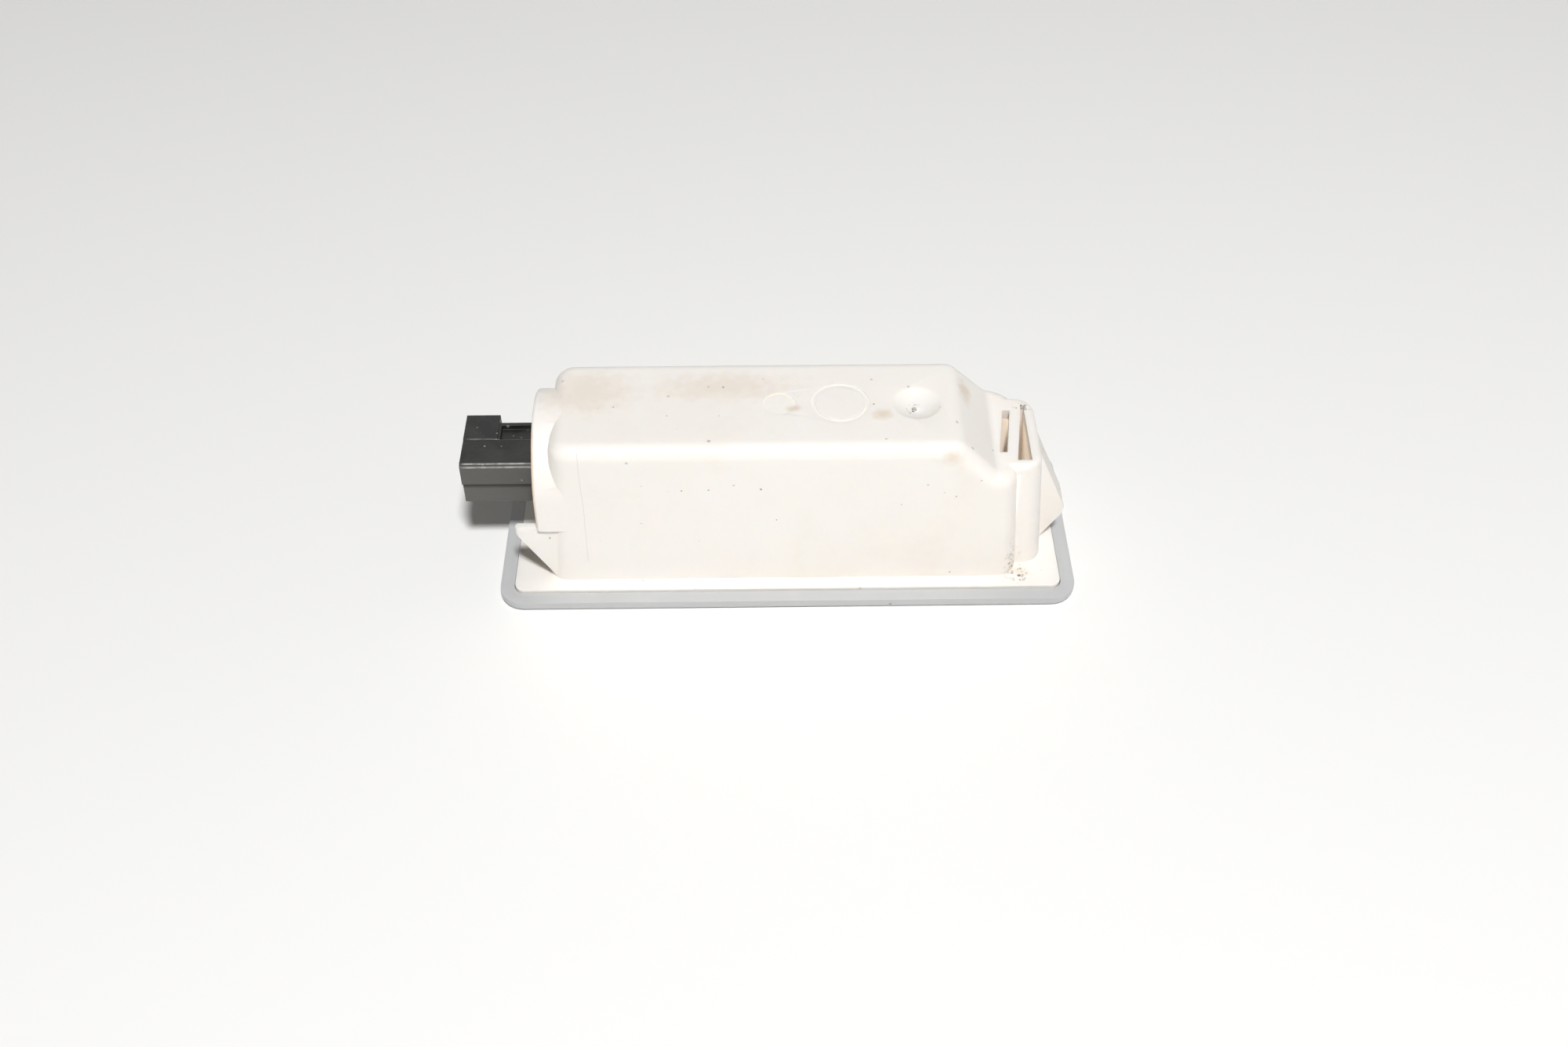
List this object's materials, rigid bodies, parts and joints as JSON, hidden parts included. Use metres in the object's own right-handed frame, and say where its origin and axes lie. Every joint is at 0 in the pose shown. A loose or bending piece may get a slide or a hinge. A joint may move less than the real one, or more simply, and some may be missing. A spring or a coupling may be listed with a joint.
{
  "type": "interior light",
  "caption": "Small rectangular snap-in car interior light: drafted white housing with hood, hooks and spring barb, tray lens, bulb holder with connector and wedge bulb.",
  "frame": {"origin": "centre of the lens's flat outer face, which the lamp lies on", "axes": "+X along the lamp away from the connector, +Z out of the back of the housing, away from the lens"},
  "size_m": [0.0719, 0.0254, 0.0209],
  "materials": {
    "housing_white": "warm white moulded plastic, slightly translucent, soiled",
    "lens_frosted": "frosted translucent grey plastic",
    "holder_black": "satin black moulded plastic",
    "contact_brass": "tinned brass strip",
    "bulb_glass": "clear glass",
    "filament_wire": "drawn wire"
  },
  "bodies": {
    "root": {"housing": "housing_white", "lens": "lens_frosted", "bulb_holder": "holder_black", "contact_front": "contact_brass", "contact_rear": "contact_brass", "bulb_glass": "bulb_glass", "bulb_filament": "filament_wire", "bulb_lead_front": "filament_wire", "bulb_lead_rear": "filament_wire"}
  },
  "joints": []
}
